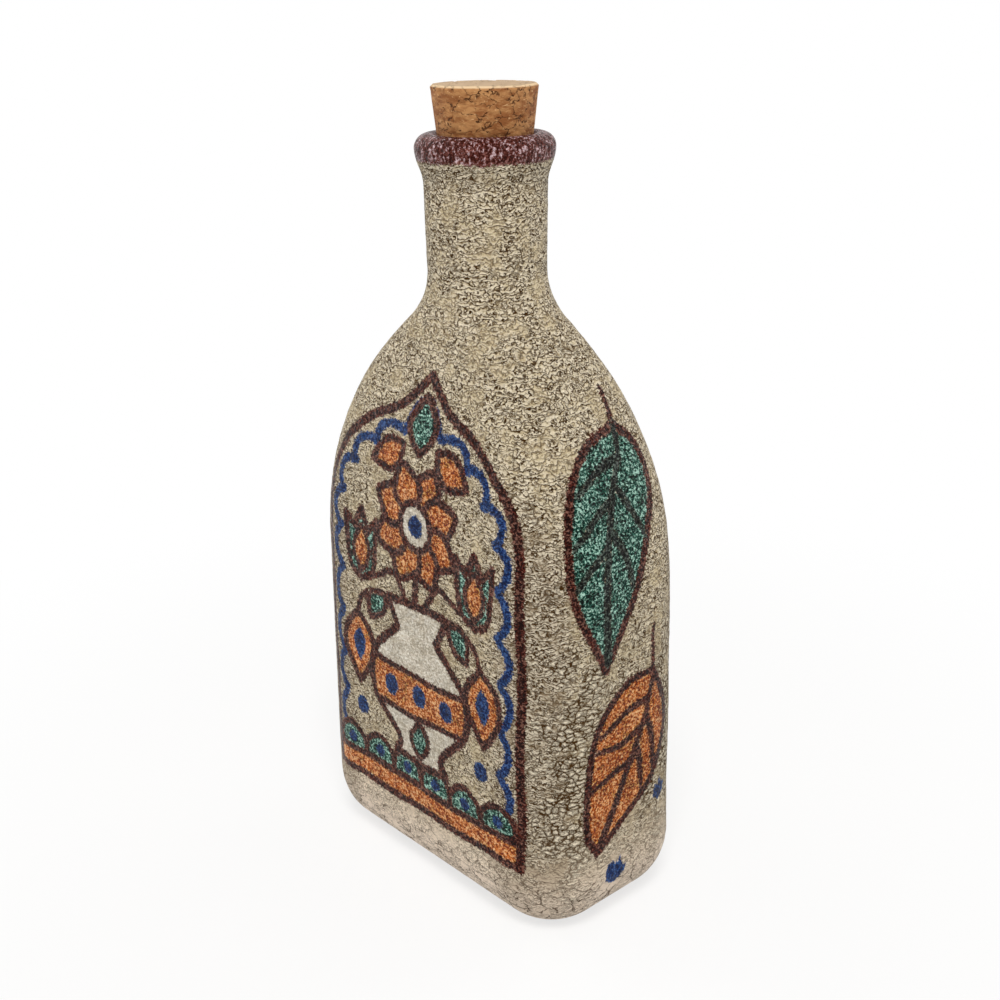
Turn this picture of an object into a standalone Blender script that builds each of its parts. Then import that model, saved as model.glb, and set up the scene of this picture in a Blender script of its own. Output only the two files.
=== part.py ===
"""A glazed stoneware flask with a tapered cork. Metres, +Z up, origin under the middle of the foot.

The flask's broad faces look along -Y and +Y and its narrow sides along -X and +X. Its section is a
rounded rectangle that closes to a circle at the neck. The hollow inside is the same form, set in by
the thickness of the wall, and opens through the rolled lip. The cork's origin is on the axis that it
is pulled out along, level with the top of the lip.
"""

import math

import bmesh
import bpy

# Body of the flask, measured where the straight sides end and the shoulder starts
BODY_WIDTH = 0.1014
BODY_DEPTH = 0.0555
CORNER_RADIUS = 0.0188
SIDE_SPREAD = 0.0008
WALL = 0.0034

# Heel and foot: the flask stands on a flat ring round a shallow recess
HEEL_INSET = 0.0140
HEEL_HEIGHT = 0.0170
FOOT_CORNER_RADIUS = 0.0040
FOOT_RING_SHARE = 0.45
FOOT_RECESS_DEPTH = 0.0008
FLOOR = 0.0050

# Shoulder, in two arcs: one swells out of the side, the other hollows into the neck
SHOULDER_START = 0.0912
SHOULDER_RISE = 0.0800
SIDE_NECK_ARC = 0.0179
FACE_NECK_ARC = 0.0798
SHOULDER_SQUARE_SHARE = 0.24

# Neck and rolled lip
NECK_RADIUS = 0.0154
NECK_FLARE = 0.00025
NECK_LENGTH = 0.0214
LIP_PROUD = 0.00215
LIP_COVE = 0.0088
LIP_CROWN = 0.0036
LIP_ROUND_SHARE = 0.65
MOUTH_ROUND_SHARE = 0.27

# Cork, whose taper is how much the radius grows for each metre of height
CORK_CLEARANCE = 0.0003
CORK_TAPER_SHARE = 0.11
CORK_PROUD = 0.0116
CORK_DEPTH = 0.0164
CORK_EDGE = 0.0006

# Facets, as counts
CORNER_POINTS = 9
HEEL_STEPS = 5
SWELL_STEPS = 9
HOLLOW_STEPS = 5
COVE_STEPS = 6
CROWN_STEPS = 4
MOUTH_STEPS = 3
CORK_STEPS = 48
SMOOTH_ANGLE = math.radians(35)

CUT_OVERRUN = 0.0020
MERGE_DISTANCE = 0.00001

# Colours in linear light
CREAM_GLAZE = (0.35, 0.29, 0.20)
BROWN_LIP_GLAZE = (0.09, 0.03, 0.02)
CORK_BROWN = (0.42, 0.22, 0.09)

# Heights and radii that follow from the sizes above
SHOULDER_END = SHOULDER_START + SHOULDER_RISE
NECK_END = SHOULDER_END + NECK_LENGTH
LIP_WIDEST = NECK_END + LIP_COVE
LIP_TOP = LIP_WIDEST + LIP_CROWN
NECK_TOP_RADIUS = NECK_RADIUS + NECK_FLARE
LIP_RADIUS = NECK_TOP_RADIUS + LIP_PROUD
BORE_RADIUS = NECK_TOP_RADIUS - WALL
LIP_THICKNESS = LIP_RADIUS - BORE_RADIUS
LIP_ROUND = LIP_ROUND_SHARE * LIP_THICKNESS
MOUTH_ROUND = MOUTH_ROUND_SHARE * LIP_THICKNESS


def clear_scene():
    for item in list(bpy.data.objects):
        bpy.data.objects.remove(item)


def make_collection(name):
    collection = bpy.data.collections.new(name)
    bpy.context.scene.collection.children.link(collection)
    return collection


def make_material(name, colour, roughness):
    material = bpy.data.materials.new(name)
    material.use_nodes = True
    shader = material.node_tree.nodes["Principled BSDF"]
    shader.inputs["Base Color"].default_value = (*colour, 1)
    shader.inputs["Roughness"].default_value = roughness
    shader.inputs["Metallic"].default_value = 0
    return material


def shares(count):
    """The shares from just above 0 up to 1, in that many even steps."""
    return [(index + 1) / count for index in range(count)]


# A section is (height, half the width, half the depth, corner radius). Sections run from low to high,
# and each function below gives those of one zone, set in from the outside by the thickness of a wall.


def round_section(height, radius):
    return (height, radius, radius, radius)


def side_section(height, inset):
    """The straight-sided part, which spreads towards the foot. Its corners tighten as it draws in."""
    spread = SIDE_SPREAD * (1 - height / SHOULDER_START)
    corner = CORNER_RADIUS + (FOOT_CORNER_RADIUS - CORNER_RADIUS) * inset / HEEL_INSET
    return (height, BODY_WIDTH / 2 + spread - inset, BODY_DEPTH / 2 + spread - inset, corner)


def heel_sections(wall, floor):
    """The rounded heel, a quarter ellipse from the floor out and up to the side."""
    sections = [side_section(floor, HEEL_INSET)]
    for share in shares(HEEL_STEPS):
        angle = share * math.pi / 2
        height = floor + (HEEL_HEIGHT - wall) * (1 - math.cos(angle))
        sections.append(side_section(height, HEEL_INSET - (HEEL_INSET - wall) * math.sin(angle)))
    return sections


def swell_radius(half, hollow):
    """Radius of the arc that rises from a side and runs into the neck's hollow arc without a corner."""
    draw = half - NECK_RADIUS
    return (draw**2 + SHOULDER_RISE**2) / (2 * draw) - hollow


def shoulder_half(half, hollow, wall, height):
    """Half the size of the shoulder at a height, with its inner side parallel to its outer one."""
    swell = swell_radius(half, hollow)
    turn = SHOULDER_START + (swell - wall) * SHOULDER_RISE / (swell + hollow)
    if height < turn:
        rise = height - SHOULDER_START
        return half - swell + math.sqrt((swell - wall) ** 2 - rise**2)
    fall = SHOULDER_END - height
    return NECK_RADIUS + hollow - math.sqrt((hollow + wall) ** 2 - fall**2)


def shoulder_heights():
    """Heights at even steps of angle along the two arcs of the shoulder's broad outline."""
    swell = swell_radius(BODY_WIDTH / 2, SIDE_NECK_ARC)
    angle = math.asin(SHOULDER_RISE / (swell + SIDE_NECK_ARC))
    heights = [SHOULDER_START + swell * math.sin(angle * share) for share in shares(SWELL_STEPS)]
    for share in shares(HOLLOW_STEPS)[:-1]:
        heights.append(SHOULDER_END - SIDE_NECK_ARC * math.sin(angle * (1 - share)))
    return heights


def shoulder_sections(wall):
    """Rounded rectangles that close to the circle of the neck, squarer half way up than an even blend."""
    sections = []
    for height in shoulder_heights():
        half_width = shoulder_half(BODY_WIDTH / 2, SIDE_NECK_ARC, wall, height)
        half_depth = shoulder_half(BODY_DEPTH / 2, FACE_NECK_ARC, wall, height)
        outside = shoulder_half(BODY_WIDTH / 2, SIDE_NECK_ARC, 0, height)
        share = (outside - NECK_RADIUS) / (BODY_WIDTH / 2 - NECK_RADIUS)
        corner = NECK_RADIUS + (CORNER_RADIUS - NECK_RADIUS) * share
        corner -= SHOULDER_SQUARE_SHARE * NECK_RADIUS * 4 * share * (1 - share)
        sections.append((height, half_width, half_depth, corner - wall))
    return sections


def outer_sections():
    """The outside, from the recess in the foot up to the flat top of the lip."""
    foot = side_section(0, HEEL_INSET)
    ring = FOOT_RING_SHARE * foot[2]
    recess_edge = (0, foot[1] - ring, foot[2] - ring, foot[3])
    slope = FOOT_RECESS_DEPTH
    recess = (FOOT_RECESS_DEPTH, recess_edge[1] - slope, recess_edge[2] - slope, foot[3])
    sections = [recess, recess_edge] + heel_sections(0, 0)
    sections.append(side_section(SHOULDER_START, 0))
    sections += shoulder_sections(0)
    sections.append(round_section(SHOULDER_END, NECK_RADIUS))
    sections.append(round_section(NECK_END, NECK_TOP_RADIUS))
    for share in shares(COVE_STEPS):
        swell = (1 - math.cos(share * math.pi)) / 2
        sections.append(round_section(NECK_END + LIP_COVE * share, NECK_TOP_RADIUS + LIP_PROUD * swell))
    for share in shares(CROWN_STEPS):
        angle = share * math.pi / 2
        radius = LIP_RADIUS - LIP_ROUND * (1 - math.cos(angle))
        sections.append(round_section(LIP_WIDEST + LIP_CROWN * math.sin(angle), radius))
    return sections


def hollow_sections():
    """The hollow, from the floor up through the neck's bore and out over the rounded mouth."""
    sections = heel_sections(WALL, FLOOR)
    sections.append(side_section(SHOULDER_START, WALL))
    sections += shoulder_sections(WALL)
    sections.append(round_section(SHOULDER_END, NECK_RADIUS - WALL))
    sections.append(round_section(NECK_END, BORE_RADIUS))
    sections.append(round_section(LIP_TOP - MOUTH_ROUND, BORE_RADIUS))
    for share in shares(MOUTH_STEPS):
        angle = share * math.pi / 2
        height = LIP_TOP - MOUTH_ROUND * (1 - math.sin(angle))
        sections.append(round_section(height, BORE_RADIUS + MOUTH_ROUND * (1 - math.cos(angle))))
    sections.append(round_section(LIP_TOP + CUT_OVERRUN, BORE_RADIUS + MOUTH_ROUND))
    return sections


def add_ring(mesh, section):
    """One row of points round a section. Its sides lie on the section, and a circle is evenly divided."""
    height, half_width, half_depth, corner = section
    corner = min(corner, half_width, half_depth)
    step = math.pi / 2 / CORNER_POINTS
    reach = corner / math.cos(step / 2)
    ring = []
    for quarter, (across, along) in enumerate([(1, 1), (-1, 1), (-1, -1), (1, -1)]):
        for index in range(CORNER_POINTS):
            angle = quarter * math.pi / 2 + (index + 0.5) * step
            x = across * (half_width - corner) + reach * math.cos(angle)
            y = along * (half_depth - corner) + reach * math.sin(angle)
            ring.append(mesh.verts.new((x, y, height)))
    return ring


def make_loft(name, sections, collection, material):
    """A closed solid through unlike sections, with a flat face under the first and over the last."""
    mesh = bmesh.new()
    rings = [add_ring(mesh, section) for section in sections]
    for lower, upper in zip(rings, rings[1:]):
        for index, corner in enumerate(lower):
            mesh.faces.new((lower[index - 1], corner, upper[index], upper[index - 1]))
    mesh.faces.new(reversed(rings[0]))
    mesh.faces.new(rings[-1])
    data = bpy.data.meshes.new(name)
    mesh.to_mesh(data)
    mesh.free()
    data.materials.append(material)
    data.shade_smooth()
    data.set_sharp_from_angle(angle=SMOOTH_ANGLE)
    loft = bpy.data.objects.new(name, data)
    collection.objects.link(loft)
    return loft


def make_flask(parts, cutters):
    glaze = make_material("cream_crackle_glaze", CREAM_GLAZE, roughness=0.45)
    lip_glaze = make_material("brown_lip_glaze", BROWN_LIP_GLAZE, roughness=0.20)
    flask = make_loft("bottle_body", outer_sections(), parts, glaze)
    flask.data.materials.append(lip_glaze)
    for face in flask.data.polygons:
        if face.center.z > NECK_END + LIP_COVE / 2:
            face.material_index = flask.data.materials.find(lip_glaze.name)
    hollow = make_loft("flask_hollow", hollow_sections(), cutters, glaze)
    hollow.hide_render = True
    hollow.display_type = "WIRE"
    cut = flask.modifiers.new("hollow", "BOOLEAN")
    cut.object = hollow
    cut.operation = "DIFFERENCE"
    cut.solver = "EXACT"
    return flask


def make_cork(parts):
    """A turned cork that wedges in the bore just under the mouth's rounding."""
    seat_radius = BORE_RADIUS - CORK_CLEARANCE
    top_radius = seat_radius + CORK_TAPER_SHARE * (MOUTH_ROUND + CORK_PROUD)
    end_radius = top_radius - CORK_TAPER_SHARE * (CORK_PROUD + CORK_DEPTH)
    profile = [
        (0, CORK_PROUD),
        (top_radius - CORK_EDGE, CORK_PROUD),
        (top_radius, CORK_PROUD - CORK_EDGE),
        (end_radius, CORK_EDGE - CORK_DEPTH),
        (end_radius - CORK_EDGE, -CORK_DEPTH),
        (0, -CORK_DEPTH),
    ]
    data = bpy.data.meshes.new("cork_stopper")
    edges = [(index, index + 1) for index in range(len(profile) - 1)]
    data.from_pydata([(radius, 0, height) for radius, height in profile], edges, [])
    data.materials.append(make_material("agglomerated_cork", CORK_BROWN, roughness=0.85))
    cork = bpy.data.objects.new("cork_stopper", data)
    cork.location = (0, 0, LIP_TOP)
    parts.objects.link(cork)
    turn = cork.modifiers.new("turn", "SCREW")
    turn.steps = CORK_STEPS
    turn.render_steps = CORK_STEPS
    turn.use_merge_vertices = True
    turn.merge_threshold = MERGE_DISTANCE
    turn.use_smooth_shade = False
    return cork


clear_scene()
flask_parts = make_collection("glazed_flask")
flask_cutters = make_collection("cutters")
make_flask(flask_parts, flask_cutters)
make_cork(flask_parts)
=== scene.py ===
"""Looks of a flat glazed stoneware flask, painted with coloured glazes and closed by a tapered cork."""

import math

import bmesh
import bpy
import numpy as np
from mathutils import Matrix, Vector, noise


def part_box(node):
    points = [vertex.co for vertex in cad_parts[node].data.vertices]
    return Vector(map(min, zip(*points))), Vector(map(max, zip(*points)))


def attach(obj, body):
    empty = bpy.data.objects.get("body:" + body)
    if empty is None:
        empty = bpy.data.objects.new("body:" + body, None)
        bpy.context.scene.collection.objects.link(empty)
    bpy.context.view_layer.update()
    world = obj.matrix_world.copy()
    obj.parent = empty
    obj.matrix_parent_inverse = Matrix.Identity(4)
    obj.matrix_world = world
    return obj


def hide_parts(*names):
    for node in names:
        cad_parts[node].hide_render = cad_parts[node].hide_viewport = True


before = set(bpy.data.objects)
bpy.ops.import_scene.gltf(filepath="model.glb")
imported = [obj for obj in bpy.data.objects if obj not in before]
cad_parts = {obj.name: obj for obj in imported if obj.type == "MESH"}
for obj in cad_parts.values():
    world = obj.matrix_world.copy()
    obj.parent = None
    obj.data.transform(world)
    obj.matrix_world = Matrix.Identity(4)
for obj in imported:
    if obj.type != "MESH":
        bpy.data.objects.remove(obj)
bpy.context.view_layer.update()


# The flask
# Slip-cast stoneware, fired in one piece: a rounded-rectangle body whose shoulder closes to a round
# neck with a rolled lip. Its wall is one closed skin, from the foot over the lip to the floor inside.

LIP_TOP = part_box("bottle_body")[1].z
BODY_WIDTH = 0.1014
BODY_DEPTH = 0.0555
CORNER_RADIUS = 0.0188
SIDE_SPREAD = 0.0008
WALL = 0.0034
HEEL_INSET = 0.0140
HEEL_HEIGHT = 0.0170
FOOT_CORNER_RADIUS = 0.0040
FOOT_RING_SHARE = 0.45
FOOT_RECESS_DEPTH = 0.0008
FLOOR = 0.0050
SHOULDER_START = 0.0912
SHOULDER_RISE = 0.0800
SIDE_NECK_ARC = 0.0179
FACE_NECK_ARC = 0.0798
SHOULDER_SQUARE_SHARE = 0.24
NECK_RADIUS = 0.0154
NECK_FLARE = 0.00025
LIP_PROUD = 0.00215
LIP_COVE = 0.0088
LIP_CROWN = 0.0036
LIP_ROUND_SHARE = 0.65
MOUTH_ROUND_SHARE = 0.27

SHOULDER_END = SHOULDER_START + SHOULDER_RISE
LIP_WIDEST = LIP_TOP - LIP_CROWN
NECK_END = LIP_WIDEST - LIP_COVE
NECK_TOP_RADIUS = NECK_RADIUS + NECK_FLARE
LIP_RADIUS = NECK_TOP_RADIUS + LIP_PROUD
BORE_RADIUS = NECK_TOP_RADIUS - WALL
LIP_ROUND = LIP_ROUND_SHARE * (LIP_RADIUS - BORE_RADIUS)
MOUTH_ROUND = MOUTH_ROUND_SHARE * (LIP_RADIUS - BORE_RADIUS)

# Spacing of the skin's rows and columns: close where paint is drawn, wide behind and inside
PAINTED_SPACING = 0.0008
BACK_SPACING = 0.0016
INSIDE_SPACING = 0.0040
OUTLINE_SAMPLES = 4001

# Unevenness of the hand-finished skin: slow swells, and the glaze's beads
SWELL_LENGTH = 0.022
SWELL_HEIGHT = 0.00022
BEAD_LENGTH = 0.0026
BEAD_HEIGHT = 0.00009


def round_section(height, radius):
    """A section of the flask is its height, half width, half depth and corner radius."""
    return (height, radius, radius, radius)


def side_section(height, inset):
    spread = SIDE_SPREAD * (1 - height / SHOULDER_START)
    corner = CORNER_RADIUS + (FOOT_CORNER_RADIUS - CORNER_RADIUS) * inset / HEEL_INSET
    return (height, BODY_WIDTH / 2 + spread - inset, BODY_DEPTH / 2 + spread - inset, corner)


def shoulder_half(half, hollow, wall, height):
    """Half the size of the shoulder: an arc swells out of the side and a hollow one runs into the neck."""
    draw = half - NECK_RADIUS
    swell = (draw**2 + SHOULDER_RISE**2) / (2 * draw) - hollow
    turn = SHOULDER_START + (swell - wall) * SHOULDER_RISE / (swell + hollow)
    if height < turn:
        return half - swell + math.sqrt((swell - wall) ** 2 - (height - SHOULDER_START) ** 2)
    return NECK_RADIUS + hollow - math.sqrt((hollow + wall) ** 2 - (SHOULDER_END - height) ** 2)


def shoulder_section(height, wall):
    outside = shoulder_half(BODY_WIDTH / 2, SIDE_NECK_ARC, 0, height)
    share = (outside - NECK_RADIUS) / (BODY_WIDTH / 2 - NECK_RADIUS)
    corner = NECK_RADIUS + (CORNER_RADIUS - NECK_RADIUS) * share
    corner -= SHOULDER_SQUARE_SHARE * NECK_RADIUS * 4 * share * (1 - share)
    half_width = shoulder_half(BODY_WIDTH / 2, SIDE_NECK_ARC, wall, height)
    half_depth = shoulder_half(BODY_DEPTH / 2, FACE_NECK_ARC, wall, height)
    return (height, half_width, half_depth, corner - wall)


def even_shares(length, spacing):
    """The shares from just above 0 up to 1, in even steps of about the spacing."""
    count = max(1, round(length / spacing))
    return [(index + 1) / count for index in range(count)]


def heel_sections(wall, floor, spacing):
    rise = HEEL_HEIGHT - wall
    draw = HEEL_INSET - wall
    sections = [side_section(floor, HEEL_INSET)]
    for share in even_shares((rise + draw) * math.pi / 4, spacing):
        angle = share * math.pi / 2
        height = floor + rise * (1 - math.cos(angle))
        sections.append(side_section(height, HEEL_INSET - draw * math.sin(angle)))
    return sections


def wall_sections(wall, floor, spacing):
    """Sections of the outside, or of the hollow set in by the wall, from the floor up to the neck's end."""
    sections = heel_sections(wall, floor, spacing)
    heel_top = sections[-1][0]
    for share in even_shares(SHOULDER_START - heel_top, spacing):
        sections.append(side_section(heel_top + (SHOULDER_START - heel_top) * share, wall))
    for share in even_shares(SHOULDER_RISE, spacing)[:-1]:
        sections.append(shoulder_section(SHOULDER_START + SHOULDER_RISE * share, wall))
    sections.append(round_section(SHOULDER_END, NECK_RADIUS - wall))
    for share in even_shares(NECK_END - SHOULDER_END, spacing):
        height = SHOULDER_END + (NECK_END - SHOULDER_END) * share
        sections.append(round_section(height, NECK_RADIUS + NECK_FLARE * share - wall))
    return sections


def foot_sections():
    """The flat ring that the flask stands on and the shallow recess inside it, from the middle outwards."""
    foot = side_section(0, HEEL_INSET)
    ring = FOOT_RING_SHARE * foot[2]
    edge = (0, foot[1] - ring, foot[2] - ring, foot[3])
    recess = (FOOT_RECESS_DEPTH, edge[1] - FOOT_RECESS_DEPTH, edge[2] - FOOT_RECESS_DEPTH, foot[3])
    middle = tuple(size / 2 for size in recess[1:])
    return [round_section(FOOT_RECESS_DEPTH, 0), (FOOT_RECESS_DEPTH, *middle), recess, edge]


def lip_sections():
    """The rolled lip: a cove out of the neck, a crown, and a rounding into the mouth."""
    sections = []
    for share in even_shares(LIP_COVE, PAINTED_SPACING):
        proud = LIP_PROUD * (1 - math.cos(share * math.pi)) / 2
        sections.append(round_section(NECK_END + LIP_COVE * share, NECK_TOP_RADIUS + proud))
    for share in even_shares(LIP_ROUND * math.pi / 2, PAINTED_SPACING / 2):
        angle = share * math.pi / 2
        height = LIP_WIDEST + LIP_CROWN * math.sin(angle)
        sections.append(round_section(height, LIP_RADIUS - LIP_ROUND * (1 - math.cos(angle))))
    for share in even_shares(MOUTH_ROUND * math.pi / 2, PAINTED_SPACING / 2):
        angle = share * math.pi / 2
        drop = MOUTH_ROUND * (1 - math.cos(angle))
        sections.append(round_section(LIP_TOP - drop, BORE_RADIUS + MOUTH_ROUND * (1 - math.sin(angle))))
    return sections


def ray_length(section, direction):
    """How far from the axis a section lies in a direction."""
    height, half_width, half_depth, corner = section
    across = abs(math.cos(direction))
    along = abs(math.sin(direction))
    flat_width = half_width - corner
    flat_depth = half_depth - corner
    if along * half_width < flat_depth * across:
        return half_width / across
    if across * half_depth < flat_width * along:
        return half_depth / along
    ahead = across * flat_width + along * flat_depth
    return ahead + math.sqrt(max(0, ahead**2 - flat_width**2 - flat_depth**2 + corner**2))


def column_directions(section):
    """Directions that divide a section's outline evenly, closer together on its painted front and sides."""
    turns = np.linspace(-math.pi, math.pi, OUTLINE_SAMPLES)
    reaches = np.array([ray_length(section, turn) for turn in turns])
    steps = np.hypot(np.diff(reaches * np.cos(turns)), np.diff(reaches * np.sin(turns)))
    behind = reaches[1:] * np.sin(turns[1:]) > section[2] - section[3] / 2
    spacing = np.where(behind, BACK_SPACING, PAINTED_SPACING)
    columns_so_far = np.concatenate([[0], np.cumsum(steps / spacing)])
    count = round(columns_so_far[-1])
    return np.interp(np.arange(count) * columns_so_far[-1] / count, columns_so_far, turns)


outside = wall_sections(0, 0, PAINTED_SPACING)
inside = wall_sections(WALL, FLOOR, INSIDE_SPACING)
inner_floor = [(FLOOR, *(size / 2 for size in inside[0][1:])), round_section(FLOOR, 0)]
skin = foot_sections() + outside + lip_sections() + inside[::-1] + inner_floor
first_outside = len(foot_sections())
first_inside = len(skin) - len(inside) - len(inner_floor)
directions = column_directions(side_section(SHOULDER_START, 0))

# A straight profile is spun to rings of radius 1 that stand 1 apart, and its ends and seam are closed. Each
# ring is then pressed out to its section, and the swells and beads are raised on the outside.
RING_MERGE_DISTANCE = 0.001

flask_mesh = bmesh.new()
row_of = flask_mesh.verts.layers.int.new("row")
profile = []
for row, section in enumerate(skin):
    point = flask_mesh.verts.new((1 if section[1] else 0, 0, row))
    point[row_of] = row
    profile.append(point)
profile_edges = [flask_mesh.edges.new(pair) for pair in zip(profile, profile[1:])]
bmesh.ops.spin(
    flask_mesh, geom=profile + profile_edges, cent=(0, 0, 0), axis=(0, 0, 1),
    angle=2 * math.pi, steps=len(directions), use_merge=True)
bmesh.ops.remove_doubles(flask_mesh, verts=flask_mesh.verts, dist=RING_MERGE_DISTANCE)
bmesh.ops.recalc_face_normals(flask_mesh, faces=flask_mesh.faces)
for point in flask_mesh.verts:
    section = skin[point[row_of]]
    column = round(math.atan2(point.co.y, point.co.x) / (2 * math.pi) * len(directions))
    direction = directions[column % len(directions)]
    reach = ray_length(section, direction) if section[1] else 0
    point.co = (reach * math.cos(direction), reach * math.sin(direction), section[0])

flask_mesh.normal_update()
for point in flask_mesh.verts:
    row = point[row_of]
    if first_outside < row < first_inside:
        fade = min(1, point.co.z / HEEL_HEIGHT, (LIP_TOP - point.co.z) / LIP_CROWN)
        swell = SWELL_HEIGHT * noise.noise(point.co / SWELL_LENGTH)
        bead = BEAD_HEIGHT * noise.noise(point.co / BEAD_LENGTH)
        point.co += point.normal * fade * (swell + bead)

flask = bpy.data.objects.new("flask", bpy.data.meshes.new("flask"))
flask_mesh.to_mesh(flask.data)
flask_mesh.free()
flask.data.shade_smooth()
bpy.context.scene.collection.objects.link(flask)


# The painted glazes
# Orange, green, cobalt and white glazes with dark-brown outlines, brushed by hand on the raw glaze and
# fired with it. Each glaze is an attribute: how far inside its brush strokes a point lies, in mm.

MM = 1000
NEXT_TO_NOTHING = 0.000001
UNPAINTED = -9.0
OVERLAP = 0.7
GLAZES = ("white", "orange", "green", "cobalt", "brown", "umber")
OUTLINE_WIDTH = 2.3
DOT_POINTS = 17
ARCH_WIDTH = 2.8
ARCH_STEPS = 40
ARCH_POINTS = slice(None, None, 4)
VINE_WIDTH = 2.5
VINE_POINTS = slice(14, -18, 2)
LOBE_LENGTH = 13.0
LOBE_GAP = 3.4
LOBE_DEPTH = 4.8
HAND_WAVER = 0.35
WAVER_LENGTHS = (0.0083, 0.0075, 0.0061)

# The points along each edge of a leaf: how far up it they lie, and their shares of its half width and its bow
LEAF_SHARES = ((0.25, 0.80, 0.75), (0.55, 1.00, 1.00), (0.85, 0.45, 0.50))


def smooth_curve(points, steps=8):
    """Points of an even curve through the given ones."""
    given = np.array(points, float)
    ends = np.vstack([2 * given[0] - given[1], given, 2 * given[-1] - given[-2]])
    share = np.arange(steps)[:, None] / steps
    stretches = []
    for before, start, stop, after in zip(ends, ends[1:], ends[2:], ends[3:]):
        bend = 2 * before - 5 * start + 4 * stop - after
        twist = 3 * (start - stop) + after - before
        stretches.append(start + share / 2 * (stop - before + share * (bend + share * twist)))
    return np.vstack(stretches + [given[-1:]])


def depth_in_stroke(places, path, start_width, end_width):
    """How far inside a brush stroke each place lies; negative outside it."""
    depth = np.full(len(places), UNPAINTED)
    margin = max(start_width, end_width) - UNPAINTED / 2
    near = np.all((places > path.min(0) - margin) & (places < path.max(0) + margin), axis=1)
    spots = places[near]
    found = depth[near]
    last = len(path) - 1
    for index in range(last):
        run = path[index + 1] - path[index]
        along = np.clip((spots - path[index]) @ run / (run @ run), 0, 1)
        width = start_width + (end_width - start_width) * (index + along) / last
        away = np.linalg.norm(spots - path[index] - along[:, None] * run, axis=1)
        found = np.maximum(found, width / 2 - away)
    depth[near] = found
    return depth


def depth_in_shape(places, edge):
    """How far inside a closed shape each place lies; negative outside it."""
    closed = np.vstack([edge, edge[:1]])
    away = -depth_in_stroke(places, closed, 0, 0)
    inside_shape = np.zeros(len(places), bool)
    for start, stop in zip(closed, closed[1:]):
        if start[1] != stop[1]:
            spans = (start[1] > places[:, 1]) != (stop[1] > places[:, 1])
            edge_at = start[0] + (places[:, 1] - start[1]) / (stop[1] - start[1]) * (stop[0] - start[0])
            inside_shape ^= spans & (places[:, 0] < edge_at)
    return np.where(inside_shape, away, -away)


def lay_glaze(face, glaze, depth):
    """Lays a glaze over those below it, which run on under its edge by the overlap."""
    for other in GLAZES:
        face[other] = np.minimum(face[other], OVERLAP - depth)
    face[glaze] = np.maximum(face[glaze], depth)


def draw_line(face, glaze, points, start_width, end_width=None):
    depth = depth_in_stroke(face["places"], smooth_curve(points), start_width, end_width or start_width)
    lay_glaze(face, glaze, depth)


def draw_shape(face, glaze, curves, outline=OUTLINE_WIDTH):
    """Fills a shape whose edge is made of curves that join end to end, and outlines it in brown."""
    edge = np.vstack([smooth_curve(curve)[:-1] for curve in curves])
    lay_glaze(face, glaze, depth_in_shape(face["places"], edge))
    if outline:
        closed = np.vstack([edge, edge[:1]])
        lay_glaze(face, "brown", depth_in_stroke(face["places"], closed, outline, outline))


def draw_dot(face, glaze, centre, width, height, outline=0):
    turns = np.linspace(0, 2 * math.pi, DOT_POINTS)
    ring = np.array(centre) + np.stack([np.cos(turns) * width / 2, np.sin(turns) * height / 2], axis=1)
    draw_shape(face, glaze, [ring], outline)


def draw_leaf(face, glaze, base, tip, width, bow=0.0, outline=2.0):
    """A pointed leaf or petal between two points, which may bow to one side."""
    start = np.array(base, float)
    run = np.array(tip, float) - start
    across = np.array([run[1], -run[0]]) / np.linalg.norm(run)
    edges = []
    for reach in (width / 2, -width / 2):
        points = [
            start + run * along + across * (reach * wide + bow * bent) for along, wide, bent in LEAF_SHARES]
        edges.append([start, *points, start + run])
    draw_shape(face, glaze, [edges[0], edges[1][::-1]], outline)


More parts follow.
